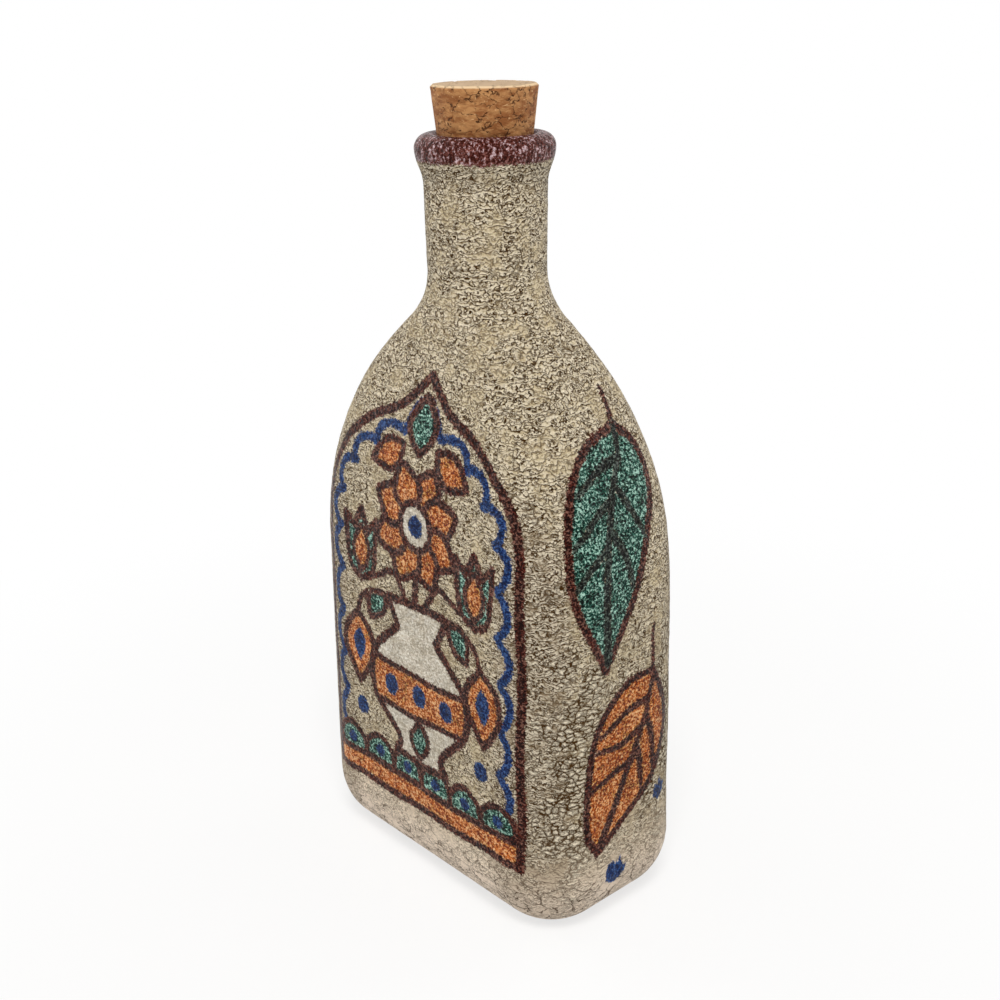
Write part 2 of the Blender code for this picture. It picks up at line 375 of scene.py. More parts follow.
def paint_leaves(face):
    """The narrow side: a green leaf hangs over an orange one, with two cobalt dabs. Across and up, in mm."""
    green_tip = (-8, 76.5)
    green_left = [(6, 136.5), (-4, 133.5), (-13, 125.5), (-17.3, 111), (-15.8, 94), green_tip]
    green_right = [green_tip, (1.5, 92.5), (8.5, 109), (13, 121), (12, 130.5), (6, 136.5)]
    draw_shape(face, "green", [green_left, green_right])
    green_rib = [(6.2, 137), (5, 130.5), (-1.5, 120.5), (-5.5, 108), (-7, 95), (-7.3, 79)]
    draw_line(face, "umber", green_rib, 1.6, 3.0)
    draw_line(face, "brown", [(6.8, 144.5), (6.6, 141), (6.2, 136.5)], 1.2, 1.8)
    for vein in (
        [(4.5, 129.5), (-3, 127.5), (-12, 123)],
        [(-1.5, 120), (-8, 117), (-15.5, 111.5)],
        [(-5.5, 109), (-11, 106), (-16, 101)],
        [(1.5, 121.5), (5, 115.5), (8, 109)],
        [(-3.5, 112), (0, 105.5), (2, 97)],
    ):
        draw_line(face, "umber", vein, 2.6, 1.6)
    orange_tip = (-10.5, 25)
    orange_left = [(10, 71.8), (0, 70.5), (-9.5, 62.5), (-13.6, 48), (-14.2, 33), orange_tip]
    orange_right = [orange_tip, (0, 31.5), (10, 40), (15.2, 53.5), (13.5, 64), (10, 71.8)]
    draw_shape(face, "orange", [orange_left, orange_right])
    orange_rib = [(9.8, 84.5), (10.2, 72), (8, 63), (4.5, 53.5), (-1, 42.5), (-6, 33), (-10, 26)]
    draw_line(face, "brown", orange_rib, 1.4, 3.0)
    for vein in (
        [(7.8, 63.5), (0, 62.5), (-9, 59)],
        [(6, 56.5), (-2, 54.2), (-11.5, 55)],
        [(2.5, 48), (-4, 46.5), (-13.5, 43.3)],
        [(7, 58.5), (9.5, 51.5), (10.5, 43)],
        [(3.8, 52), (5.5, 45.5), (6.3, 38)],
    ):
        draw_line(face, "brown", vein, 2.6, 1.6)
    upper_dab = [
        (11.2, 33), (12, 36.6), (13.4, 35.6), (14.3, 38.4), (15.6, 36), (17, 34.8), (15.4, 32), (13.4, 30.8)]
    lower_dab = [
        (-7.2, 14.4), (-6.8, 18.6), (-4.6, 20), (-3.2, 18.7), (-1.6, 21), (-0.9, 17.6), (0.8, 16.4),
        (-1.4, 14), (-4, 12.6)]
    for dab in (upper_dab, lower_dab):
        draw_shape(face, "cobalt", [dab, [dab[-1], dab[0]]], 0)


def paint_niche(face):
    """The broad front: a vase of flowers on a scalloped ground, in a pointed niche. Across and up, in mm."""
    arch = np.array([
        (39.5, 21.5), (39.5, 48), (39.5, 74), (39.3, 98), (37.5, 112),
        (31.5, 124), (21, 132.5), (9, 138), (0, 146)])
    for side in (1, -1):
        arch_line = smooth_curve(arch * (side, 1), ARCH_STEPS)
        arch_depth = depth_in_stroke(face["places"], arch_line[ARCH_POINTS], ARCH_WIDTH, ARCH_WIDTH)
        lay_glaze(face, "brown", arch_depth)
        run = np.gradient(arch_line, axis=0)
        inward = np.stack([-run[:, 1], run[:, 0]], axis=1) / np.linalg.norm(run, axis=1)[:, None] * side
        lengths = np.concatenate([[0], np.cumsum(np.linalg.norm(np.diff(arch_line, axis=0), axis=1))])
        lobe_turns = lengths / lengths[-1] * math.pi * round(lengths[-1] / LOBE_LENGTH)
        swing = LOBE_GAP + LOBE_DEPTH * (1 - np.sqrt(np.abs(np.sin(lobe_turns))))
        vine = (arch_line + inward * swing[:, None])[VINE_POINTS]
        lay_glaze(face, "cobalt", depth_in_stroke(face["places"], vine, VINE_WIDTH, VINE_WIDTH))
    for across in (-31.5, -18.9, -6.3, 6.3, 18.9, 31.5):
        scallop = np.array([(-6.3, 0), (-5.4, 5.6), (0, 8.6), (5.4, 5.6), (6.3, 0)]) + (across, 29)
        draw_shape(face, "green", [scallop, scallop[[4, 0]]], 2.0)
        draw_dot(face, "cobalt", (across, 32.8), 3.8, 3.8)
    ground = [(-39, 22), (39, 22), (39, 29), (-39, 29), (-39, 22)]
    draw_shape(face, "orange", list(zip(ground, ground[1:])), 2.4)
    for side in (1, -1):
        mirror = (side, 1)
        draw_line(face, "brown", np.array([(3, 84), (9, 92), (17, 88.5), (23.5, 87)]) * mirror, 2.2, 1.9)
        draw_line(face, "brown", np.array([(8, 83), (17, 84), (24, 80), (26, 74)]) * mirror, 2.2, 1.9)
        draw_leaf(face, "green", np.array((13, 83.5)) * mirror, np.array((20.5, 75)) * mirror, 7.0, -side)
        cup = [
            [(0, 0), (5, 2.5), (6.4, 9), (6.6, 18)], [(6.6, 18), (3, 14)], [(3, 14), (0, 20)],
            [(0, 20), (-3, 14)], [(-3, 14), (-6.6, 18)], [(-6.6, 18), (-6.4, 9), (-5, 2.5), (0, 0)]]
        draw_shape(face, "green", [(np.array(curve) + (23.5, 86)) * mirror for curve in cup], 2.2)
        draw_leaf(face, "orange", np.array((23.5, 88)) * mirror, np.array((23.5, 101)) * mirror, 7, 0, 1.8)
        draw_leaf(face, "orange", np.array((26, 75)) * mirror, np.array((26.5, 53)) * mirror, 12.5, 0, 2.3)
        draw_leaf(face, "cobalt", np.array((26, 70)) * mirror, np.array((26.4, 59)) * mirror, 5.0, 0, 0)
        draw_dot(face, "cobalt", (side * 25.5, 45.5), 5.6, 5.6)
        draw_leaf(face, "orange", np.array((6.5, 128)) * mirror, np.array((19, 121.5)) * mirror, 8, side, 2.2)
    flower = np.array([0, 107])
    draw_line(face, "brown", [(0, 84), (0, 94)], 2.4)
    for petal in range(8):
        angle = math.pi / 4 * (petal + 0.5)
        way = np.array([math.sin(angle), math.cos(angle)])
        draw_leaf(face, "orange", flower + way * 3, flower + way * 17.5, 11, 0, 2.3)
    draw_dot(face, "white", flower, 13, 13, 2.2)
    draw_dot(face, "cobalt", flower, 6.4, 6.4)
    draw_leaf(face, "green", (0, 126.5), (0, 141), 9.5, 0, 2.3)
    vase = [
        [(-11, 37), (0, 36.6), (11, 37)], [(11, 37), (9, 42), (19, 53), (19.5, 65), (8.3, 76)],
        [(8.3, 76), (12, 84)], [(12, 84), (0, 84.8), (-12, 84)], [(-12, 84), (-8.3, 76)],
        [(-8.3, 76), (-19.5, 65), (-19, 53), (-9, 42), (-11, 37)]]
    draw_shape(face, "white", vase, 2.6)
    band = [
        [(-18.4, 51.5), (0, 50.5), (18.4, 51.5)], [(18.4, 51.5), (19.9, 58), (19.3, 64)],
        [(19.3, 64), (0, 63), (-19.3, 64)], [(-19.3, 64), (-19.9, 58), (-18.4, 51.5)]]
    draw_shape(face, "orange", band, 2.0)
    for across in (-11.5, 0, 11.5):
        draw_dot(face, "cobalt", (across, 57.4), 5.6, 6.4)
    draw_leaf(face, "green", (0, 38.5), (0, 49.5), 7.0, 0, 1.8)


def round_the_corner(across, ahead, half_across, half_ahead, corner):
    """Distance over the skin from the middle of a face, for places that may lie round its corners."""
    flat = half_across - corner
    past = np.maximum(np.abs(across) - flat, 0)
    angle = np.arctan2(past, np.maximum(ahead - half_ahead + corner, NEXT_TO_NOTHING))
    return np.sign(across) * (np.minimum(np.abs(across), flat) + corner * angle)


count = len(flask.data.vertices)
places = np.zeros(count * 3)
flask.data.vertices.foreach_get("co", places)
places = places.reshape(count, 3)
rows = np.zeros(count, int)
flask.data.attributes["row"].data.foreach_get("value", rows)
flask.data.attributes.remove(flask.data.attributes["row"])
height, half_width, half_depth, corner = np.array(skin)[rows].T
waver = places / WAVER_LENGTHS
hand = HAND_WAVER / MM * np.sin(waver[:, 2] + 2 * np.sin(waver[:, 0]) + 2 * np.sin(waver[:, 1]))
coats = {glaze: np.full(count, UNPAINTED) for glaze in GLAZES}
outer = (rows >= first_outside) & (rows < first_inside)
front = outer & (places[:, 1] < 0)
across_front = round_the_corner(places[:, 0], -places[:, 1], half_width, half_depth, corner)
across_side = round_the_corner(places[:, 1], np.abs(places[:, 0]), half_depth, half_width, corner)
for shown, across, paint in (
    (front, across_front, paint_niche),
    (outer & (places[:, 0] > half_width - corner), across_side, paint_leaves),
    (outer & (places[:, 0] < corner - half_width), across_side, paint_leaves),
):
    spots = np.stack([across[shown] + hand[shown], places[shown, 2] + hand[shown]], axis=1) * MM
    face = {"places": spots, **{glaze: np.full(len(spots), UNPAINTED) for glaze in GLAZES}}
    paint(face)
    for glaze in GLAZES:
        coats[glaze][shown] = np.maximum(coats[glaze][shown], face[glaze])
for glaze in GLAZES:
    layer = flask.data.attributes.new(glaze + "_glaze", "FLOAT", "POINT")
    layer.data.foreach_set("value", coats[glaze])
inner = flask.data.attributes.new("inner_wall", "FLOAT", "POINT")
inner.data.foreach_set("value", (rows >= first_inside).astype(float))


# The flask's finish
# Cream crawl glaze over dark clay, satin, with brown creases where it drew apart in firing. Painted glazes
# pool dark in the creases, break light over the swells with painted glints on them, and shine more. The lip
# is dipped in a glossy brown glaze with painted reflections in its pale streaks, the foot ring is wiped bare
# and the hollow has a smooth coat.


def colour(hex_code):
    """An sRGB hex colour as linear light, with full cover."""
    shares = [int(hex_code[place:place + 2], 16) / 255 for place in (1, 3, 5)]
    linear = [share / 12.92 if share <= 0.04045 else ((share + 0.055) / 1.055) ** 2.4 for share in shares]
    return (*linear, 1)


def node(tree, kind, links=(), output=0, **settings):
    """Adds a shader node and gives its output. Each link is an input and the socket or value it takes."""
    made = tree.nodes.new("ShaderNode" + kind)
    for name, value in settings.items():
        setattr(made, name, value)
    for place, source in links:
        if isinstance(source, bpy.types.NodeSocket):
            tree.links.new(source, made.inputs[place])
        else:
            made.inputs[place].default_value = source
    return made.outputs[output]


# A mix of colours has sockets of its own, a smooth range starts and ends softly, and a falling one is turned
MIX_FIRST, MIX_SECOND = 6, 7
COLOUR_MIX = {"data_type": "RGBA", "output": 2}
SMOOTH = {"interpolation_type": "SMOOTHSTEP"}
FALLING = (("To Min", 1.0), ("To Max", 0.0))

CREAM = "#CEBD9A"
CREAM_SHADE = "#A99674"
CREAM_HIGHLIGHT = "#F0E3CA"
# The heel's paler cream is partly the calmer glaze and partly painted light from the white table below
HEEL_CREAM = "#E9D7C3"
CREASE_BROWN = "#452C0E"
CORNER_SHADE = "#84725A"
BARE_CLAY = "#A58463"
GLAZE_RELIEF = 0.00070

# Sizes of the patterns in mm. A flake has its size, how far its row wanders and how strongly it shows.
FLAKES = ((2.4, 5.5, 1.0), (1.1, 3.0, 0.7))
FLAKE_ROW = 1.5
FLAKE_SQUASH = 1.25
CREASE_CORE = 0.06
CREASE_REACH = 0.21
STEP_WIDTH = 0.12
PEBBLE_SIZE = 2.5
PEBBLE_SQUASH = 1.7
PEBBLE_BEND = 2.4
BENDS_PER_MM = 0.5
HEEL_CRACK_SPACING = 5.0
PATCH_SIZE = 7.0
MOTTLES_PER_MM = 0.35
GRAIN_SIZE = 0.8
GRAIN_RELIEF = 0.6
BEAD_SIZE = 0.70
STREAK_SIZE = 0.9
STREAK_STRETCH = 0.4
RAGS_PER_MM = 1.1
RAGGED = 3.2
WASHES_PER_MM = 0.30
FULL_THICKNESS = 1.3

# Where the finish changes, as heights and as distances from the middle, in mm. Across times along is
# greatest at the corners.
HEEL_STARTS, HEEL_ENDS = 12.0, 34.0
LOWER_STARTS, LOWER_ENDS = 62.0, 95.0
SIDE_STARTS, SIDE_ENDS = 18.0, 27.0
SIDE_MIDDLE_STARTS, SIDE_MIDDLE_ENDS = 6.0, 15.0
CORNER_STARTS, CORNER_ENDS = 760.0, 980.0
NECK_SHADE_STARTS, NECK_SHADE_ENDS = 188.0, 194.0
FOOT_STARTS, FOOT_ENDS = 0.3, 0.6
LIP_GLAZE_EDGE = 198.7
LIP_GLAZE_DRIPS = 1.4
DRIPS_PER_MM = 0.16

# Each glaze where it pools, where it is thick, where it is thin and on its beads, whose light colour is
# partly the glaze breaking thin and partly painted glints; on the lip it is a painted reflection
GLAZE_COLOURS = {
    "white": ("#BBAE98", "#DACFBC", "#CCBFA8", "#F1EADC"),
    "orange": ("#702810", "#CA6A26", "#D0984E", "#F0BE86"),
    "green": ("#010B08", "#1A5546", "#43604F", "#B0D8C6"),
    "cobalt": ("#071538", "#0E2459", "#26497E", "#3F5F94"),
    "brown": ("#180401", "#2D0B05", "#5A2014", "#82584A"),
    "umber": ("#010403", "#0C1410", "#2E2A20", "#5E6A60"),
    "lip": ("#38110A", "#6A362C", "#8A544A", "#D2B6BA"),
}

stoneware = bpy.data.materials.new("stoneware_crawl_glazed")
stoneware.use_nodes = True
tree = stoneware.node_tree
shader = tree.nodes["Principled BSDF"]
where = node(tree, "TexCoord", output="Object")
in_mm = node(tree, "Mapping", [("Vector", where), ("Scale", (MM, MM, MM))])
across_mm, along_mm, height_mm = node(tree, "SeparateXYZ", [(0, in_mm)]).node.outputs
inside_coat = node(tree, "Attribute", output="Fac", attribute_name="inner_wall")
outside_coat = node(tree, "Math", [(0, 1.0), (1, inside_coat)], operation="SUBTRACT")

# The glaze has crept into flakes that lie in wandering rows: each swells and ends in a small step, with a
# brown crease along it. Rows of large flakes are crossed by finer ones. The heel is calmer.
patches = node(tree, "TexNoise", [("Vector", in_mm), ("Scale", 1 / PATCH_SIZE), ("Detail", 3.0)])
ahead_mm = node(tree, "Math", [(0, along_mm)], operation="ABSOLUTE")
beside_faces = node(
    tree, "MapRange", [("Value", ahead_mm), ("From Min", SIDE_STARTS), ("From Max", SIDE_ENDS), *FALLING])
low_down = node(
    tree, "MapRange", [("Value", height_mm), ("From Min", HEEL_STARTS), ("From Max", HEEL_ENDS), *FALLING])
crept = node(
    tree, "MapRange",
    [("Value", patches), ("From Min", 0.36), ("From Max", 0.50), ("To Min", 0.62)], **SMOOTH)
crept = node(tree, "Math", [(0, low_down), (1, -0.52), (2, crept)], operation="MULTIPLY_ADD")
squashed = node(tree, "Mapping", [("Vector", in_mm), ("Scale", (1, 1, FLAKE_SQUASH))])
creases = []
swells = []
for flake_size, swing, share in FLAKES:
    flake = node(
        tree, "TexNoise",
        [("Vector", squashed), ("Scale", 1 / flake_size), ("Detail", 2.8), ("Roughness", 0.5)])
    swung = node(tree, "Math", [(0, flake), (1, swing)], operation="MULTIPLY")
    level = node(tree, "Math", [(0, height_mm), (1, 1 / FLAKE_ROW), (2, swung)], operation="MULTIPLY_ADD")
    above = node(tree, "Math", [(0, level)], operation="FRACT")
    off_middle = node(tree, "Math", [(0, above), (1, 0.5)], operation="SUBTRACT")
    near_step = node(tree, "Math", [(0, off_middle)], operation="ABSOLUTE")
    creases.append(node(
        tree, "MapRange",
        [("Value", near_step), ("From Min", 0.5 - CREASE_REACH), ("From Max", 0.5 - CREASE_CORE),
         ("To Max", share)], **SMOOTH))
    step = node(tree, "MapRange", [("Value", above), ("From Max", STEP_WIDTH)], **SMOOTH)
    swell = node(tree, "Math", [(0, step), (1, above)], operation="SUBTRACT")
    swells.append(node(tree, "Math", [(0, swell), (1, share)], operation="MULTIPLY"))
crease = node(tree, "Math", [(0, creases[0]), (1, creases[1])], operation="MAXIMUM")
flake_height = node(tree, "Math", [(0, swells[0]), (1, swells[1])], operation="ADD")

# Low on the corners it has drawn up further, into domed pebbles with a crease all round
bends = node(
    tree, "TexNoise",
    [("Vector", in_mm), ("Scale", BENDS_PER_MM), ("Detail", 3.0), ("Roughness", 0.6)], output="Color")
bent = node(
    tree, "VectorMath",
    [(0, bends), (1, (PEBBLE_BEND, PEBBLE_BEND, PEBBLE_BEND)), (2, in_mm)], operation="MULTIPLY_ADD")
flattened = node(tree, "Mapping", [("Vector", bent), ("Scale", (1, 1, PEBBLE_SQUASH))])
pebble_edge = node(
    tree, "TexVoronoi", [("Vector", flattened), ("Scale", 1 / PEBBLE_SIZE)], feature="DISTANCE_TO_EDGE")
lower_half = node(
    tree, "MapRange",
    [("Value", height_mm), ("From Min", LOWER_STARTS), ("From Max", LOWER_ENDS), *FALLING])
low_corner = node(tree, "Math", [(0, lower_half), (1, beside_faces)], operation="MULTIPLY")
off_side = node(
    tree, "MapRange",
    [("Value", ahead_mm), ("From Min", SIDE_MIDDLE_STARTS), ("From Max", SIDE_MIDDLE_ENDS), ("To Min", 0.4)])
in_corner = node(tree, "Math", [(0, low_corner), (1, off_side)], operation="MULTIPLY")
off_heel = node(tree, "Math", [(0, low_down), (1, -0.22), (2, patches)], operation="MULTIPLY_ADD")
pebble_level = node(tree, "Math", [(0, in_corner), (1, 0.28), (2, off_heel)], operation="MULTIPLY_ADD")
pebbled = node(
    tree, "MapRange", [("Value", pebble_level), ("From Min", 0.58), ("From Max", 0.70)], **SMOOTH)
pebble_line = node(
    tree, "MapRange",
    [("Value", pebble_edge), ("From Min", 0.025), ("From Max", 0.115), *FALLING], **SMOOTH)
on_heel = node(tree, "MapRange", [("Value", low_down), ("To Min", 1.0), ("To Max", 0.4)])
pebble_crease = pebble_line
for share in (pebbled, on_heel, outside_coat):
    pebble_crease = node(tree, "Math", [(0, pebble_crease), (1, share)], operation="MULTIPLY")
pebble_dome = node(tree, "MapRange", [("Value", pebble_edge), ("From Max", 0.3)], **SMOOTH)
pebble_height = node(tree, "Math", [(0, pebble_dome), (1, pebbled)], operation="MULTIPLY")
beside_pebbles = node(tree, "MapRange", [("Value", pebbled), ("To Min", 1.0), ("To Max", 0.6)])

# The thick glaze of the heel has only cooled with long thin cracks, some of them healed
heel_edge = node(
    tree, "TexVoronoi",
    [("Vector", flattened), ("Scale", 1 / HEEL_CRACK_SPACING)], feature="DISTANCE_TO_EDGE")
heel_line = node(
    tree, "MapRange",
    [("Value", heel_edge), ("From Min", 0.012), ("From Max", 0.05), ("To Min", 0.9), ("To Max", 0.0)],
    **SMOOTH)
cracked = node(tree, "MapRange", [("Value", bends), ("From Min", 0.42), ("From Max", 0.54)], **SMOOTH)
heel_crack = heel_line
for share in (cracked, low_down, outside_coat):
    heel_crack = node(tree, "Math", [(0, heel_crack), (1, share)], operation="MULTIPLY")

# All creases together, and the height of the whole coat
flaked = crept
for share in (beside_pebbles, outside_coat):
    flaked = node(tree, "Math", [(0, flaked), (1, share)], operation="MULTIPLY")
crease = node(tree, "Math", [(0, crease), (1, flaked)], operation="MULTIPLY")
for other in (pebble_crease, heel_crack):
    crease = node(tree, "Math", [(0, crease), (1, other)], operation="MAXIMUM")
crown = node(tree, "Math", [(0, 1.0), (1, crease)], operation="SUBTRACT")
grain = node(tree, "TexNoise", [("Vector", in_mm), ("Scale", 1 / GRAIN_SIZE), ("Detail", 2.0)])
grain_height = node(tree, "Math", [(0, grain), (1, on_heel)], operation="MULTIPLY")
glaze_height = node(
    tree, "Math", [(0, flake_height), (1, flaked), (2, pebble_height)], operation="MULTIPLY_ADD")
# Painted highlight: the swells' tops are coloured near white, as where they would catch the light from above
top = node(
    tree, "MapRange", [("Value", glaze_height), ("From Min", 0.35), ("From Max", 1.1), ("To Max", 0.8)])
cracked_height = node(
    tree, "Math", [(0, heel_crack), (1, -0.6), (2, glaze_height)], operation="MULTIPLY_ADD")
relief_level = node(
    tree, "Math", [(0, grain_height), (1, GRAIN_RELIEF), (2, cracked_height)], operation="MULTIPLY_ADD")

# Two creams in slow patches, paler on the heel (partly the calmer glaze, partly painted light from the white
# table below), darker round the corners, with painted shade low on the narrow sides and under the lip, a
# painted highlight near white on the swells, and brown in the creases
mottle = node(
    tree, "TexNoise", [("Vector", in_mm), ("Scale", MOTTLES_PER_MM), ("Detail", 6.0), ("Roughness", 0.75)])
mottle_share = node(tree, "MapRange", [("Value", mottle), ("From Min", 0.36), ("From Max", 0.60)])
aside_mm = node(tree, "Math", [(0, across_mm)], operation="ABSOLUTE")
to_corner = node(tree, "Math", [(0, aside_mm), (1, ahead_mm)], operation="MULTIPLY")
# Darker round the corners of the body
dark_corner = node(
    tree, "MapRange",
    [("Value", to_corner), ("From Min", CORNER_STARTS), ("From Max", CORNER_ENDS), ("To Max", 0.85)],
    **SMOOTH)
# Painted shade in a band on the neck under the lip's overhang
shade_under_lip = node(
    tree, "MapRange",
    [("Value", height_mm), ("From Min", NECK_SHADE_STARTS), ("From Max", NECK_SHADE_ENDS), ("To Max", 0.35)],
    **SMOOTH)
# Painted shade low on the narrow sides, where less light falls from above
low_side_shade = node(tree, "Math", [(0, low_corner), (1, 0.30)], operation="MULTIPLY")
darkened = dark_corner
for other in (shade_under_lip, low_side_shade):
    darkened = node(tree, "Math", [(0, darkened), (1, other)], operation="MAXIMUM")
darkened = node(tree, "Math", [(0, darkened), (1, on_heel)], operation="MULTIPLY")
cream = colour(CREAM_SHADE)
for share, over in (
    (mottle_share, CREAM), (low_down, HEEL_CREAM), (darkened, CORNER_SHADE), (top, CREAM_HIGHLIGHT)
):
    cream = node(tree, "Mix", [(0, share), (MIX_FIRST, cream), (MIX_SECOND, colour(over))], **COLOUR_MIX)
surface = node(
    tree, "Mix", [(0, crown), (MIX_FIRST, colour(CREASE_BROWN)), (MIX_SECOND, cream)], **COLOUR_MIX)

# Painted glazes: ragged at their edges, dark in the creases, of two tones by thickness, light on the swells,
# partly where they break thin and partly painted glints
rags = node(
    tree, "TexNoise", [("Vector", in_mm), ("Scale", RAGS_PER_MM), ("Detail", 4.0), ("Roughness", 0.75)])
ragged_mm = node(tree, "Math", [(0, rags), (1, RAGGED), (2, -RAGGED / 2)], operation="MULTIPLY_ADD")
beads = node(
    tree, "TexNoise", [("Vector", in_mm), ("Scale", 1 / BEAD_SIZE), ("Detail", 2.0), ("Roughness", 0.7)])
swell_level = node(tree, "Math", [(0, flake_height), (1, 0.10), (2, beads)], operation="MULTIPLY_ADD")
bead_level = node(tree, "Math", [(0, crease), (1, -0.10), (2, swell_level)], operation="MULTIPLY_ADD")
wash = node(
    tree, "TexNoise", [("Vector", in_mm), ("Scale", WASHES_PER_MM), ("Detail", 4.0), ("Roughness", 0.7)])
wash_mm = node(tree, "Math", [(0, wash), (1, 8.0), (2, -3.9)], operation="MULTIPLY_ADD")
bead_level = node(tree, "Math", [(0, wash_mm), (1, 0.055), (2, bead_level)], operation="MULTIPLY_ADD")
# The lip's pale streaks below, where its bead colour lies, are painted reflections
drawn_down = node(tree, "Mapping", [("Vector", in_mm), ("Scale", (1, 1, STREAK_STRETCH))])
streaks = node(
    tree, "TexNoise",
    [("Vector", drawn_down), ("Scale", 1 / STREAK_SIZE), ("Detail", 3.0), ("Roughness", 0.65)])
lip_level = node(tree, "Math", [(0, streaks), (1, beads)], operation="ADD")
lip_level = node(tree, "Math", [(0, lip_level), (1, 0.75), (2, -0.22)], operation="MULTIPLY_ADD")
drips = node(tree, "TexNoise", [("Vector", in_mm), ("Scale", DRIPS_PER_MM), ("Detail", 2.0)])
lip_edge = node(
    tree, "Math", [(0, drips), (1, LIP_GLAZE_DRIPS), (2, -LIP_GLAZE_EDGE - LIP_GLAZE_DRIPS / 2)],
    operation="MULTIPLY_ADD")
lip_depth = node(tree, "Math", [(0, height_mm), (1, lip_edge)], operation="ADD")
painted = 0.0
for glaze, (pool_colour, thick_colour, thin_colour, bead_glint_colour) in GLAZE_COLOURS.items():
    depth, glaze_level = lip_depth, lip_level
    if glaze in GLAZES:
        depth = node(tree, "Attribute", output="Fac", attribute_name=glaze + "_glaze")
        glaze_level = bead_level
    ragged_depth = node(tree, "Math", [(0, depth), (1, ragged_mm)], operation="ADD")
    cover = node(
        tree, "MapRange", [("Value", ragged_depth), ("From Min", -0.2), ("From Max", 0.2)], **SMOOTH)
    up_to_full = node(tree, "Math", [(0, ragged_depth), (1, FULL_THICKNESS)], operation="MINIMUM")
    thickness = node(tree, "Math", [(0, up_to_full), (1, wash_mm)], operation="ADD")
    thick = node(tree, "MapRange", [("Value", thickness), ("From Max", 1.1)], **SMOOTH)
    pooled = node(
        tree, "MapRange", [("Value", glaze_level), ("From Min", 0.42), ("From Max", 0.57)], **SMOOTH)
    breaking_glint = node(
        tree, "MapRange", [("Value", glaze_level), ("From Min", 0.55), ("From Max", 0.72)], **SMOOTH)
    tone = node(
        tree, "Mix",
        [(0, thick), (MIX_FIRST, colour(thin_colour)), (MIX_SECOND, colour(thick_colour))], **COLOUR_MIX)
    tone = node(
        tree, "Mix", [(0, pooled), (MIX_FIRST, colour(pool_colour)), (MIX_SECOND, tone)], **COLOUR_MIX)
    tone = node(
        tree, "Mix", [(0, breaking_glint), (MIX_FIRST, tone), (MIX_SECOND, colour(bead_glint_colour))], **COLOUR_MIX)
    surface = node(tree, "Mix", [(0, cover), (MIX_FIRST, surface), (MIX_SECOND, tone)], **COLOUR_MIX)
    painted = node(tree, "Math", [(0, painted), (1, cover)], operation="MAXIMUM")

# Bare clay on the foot ring, matt creases, satin cream and glossy paint
foot = node(
    tree, "MapRange", [("Value", height_mm), ("From Min", FOOT_STARTS), ("From Max", FOOT_ENDS), *FALLING])
footed = node(tree, "Mix", [(0, foot), (MIX_FIRST, surface), (MIX_SECOND, colour(BARE_CLAY))], **COLOUR_MIX)
tree.links.new(footed, shader.inputs["Base Color"])
satin = node(tree, "MapRange", [("Value", crown), ("To Min", 0.75), ("To Max", 0.38)])
glossy = node(tree, "Mix", [(0, painted), (2, satin), (3, 0.20)])
matt_foot = node(tree, "Mix", [(0, foot), (2, glossy), (3, 0.85)])
tree.links.new(matt_foot, shader.inputs["Roughness"])
shader.inputs["Specular IOR Level"].default_value = 0.05
bead_swell = node(tree, "Math", [(0, beads), (1, on_heel)], operation="MULTIPLY")
bead_height = node(tree, "Math", [(0, bead_swell), (1, 0.5), (2, relief_level)], operation="MULTIPLY_ADD")
coat_height = node(tree, "Math", [(0, bead_height), (1, outside_coat)], operation="MULTIPLY")
relief = node(tree, "Bump", [("Strength", 1.0), ("Distance", GLAZE_RELIEF), ("Height", coat_height)])
tree.links.new(relief, shader.inputs["Normal"])

flask.data.materials.append(stoneware)
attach(flask, "bottle")
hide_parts("bottle_body")


# The cork
# Agglomerated cork: granules a few mm across, pressed and glued, then turned to a taper and sanded. It
# wedges in the mouth and is pulled straight out.

CORK_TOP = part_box("cork_stopper")[1].z
CORK_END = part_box("cork_stopper")[0].z
CORK_TAPER_SHARE = 0.11
CORK_CLEARANCE = 0.0003
CORK_EDGE = 0.0006
CORK_SPACING = 0.0005
CORK_COLUMNS = 180
CORK_MERGE_DISTANCE = 0.000001
PIT_LENGTH = 0.0018
PIT_DEPTH = 0.0004
PIT_WIDTH_SHARE = 2.2
PIT_STARTS = 0.25
PIT_STEEPNESS = 2
WEAR_LENGTH = 0.006
WEAR_SHARE = 0.15

seat_radius = BORE_RADIUS - CORK_CLEARANCE
cork_top_radius = seat_radius + CORK_TAPER_SHARE * (CORK_TOP - LIP_TOP + MOUTH_ROUND)
cork_end_radius = cork_top_radius - CORK_TAPER_SHARE * (CORK_TOP - CORK_END)

cork_mesh = bmesh.new()
corners = [
    (0, CORK_TOP), (cork_top_radius - CORK_EDGE, CORK_TOP), (cork_top_radius, CORK_TOP - CORK_EDGE),
    (cork_end_radius, CORK_END + CORK_EDGE), (cork_end_radius - CORK_EDGE, CORK_END), (0, CORK_END)]
profile = [cork_mesh.verts.new((0, 0, CORK_TOP))]
for (start_radius, start_height), (stop_radius, stop_height) in zip(corners, corners[1:]):
    run = math.hypot(stop_radius - start_radius, stop_height - start_height)
    for share in even_shares(run, CORK_SPACING):
        radius = start_radius + (stop_radius - start_radius) * share
        height = start_height + (stop_height - start_height) * share
        profile.append(cork_mesh.verts.new((radius, 0, height)))
for pair in zip(profile, profile[1:]):
    cork_mesh.edges.new(pair)
bmesh.ops.spin(
    cork_mesh, geom=cork_mesh.verts[:] + cork_mesh.edges[:], cent=(0, 0, 0), axis=(0, 0, 1),
    angle=2 * math.pi, steps=CORK_COLUMNS, use_merge=True)
bmesh.ops.remove_doubles(cork_mesh, verts=cork_mesh.verts, dist=CORK_MERGE_DISTANCE)
bmesh.ops.recalc_face_normals(cork_mesh, faces=cork_mesh.faces)

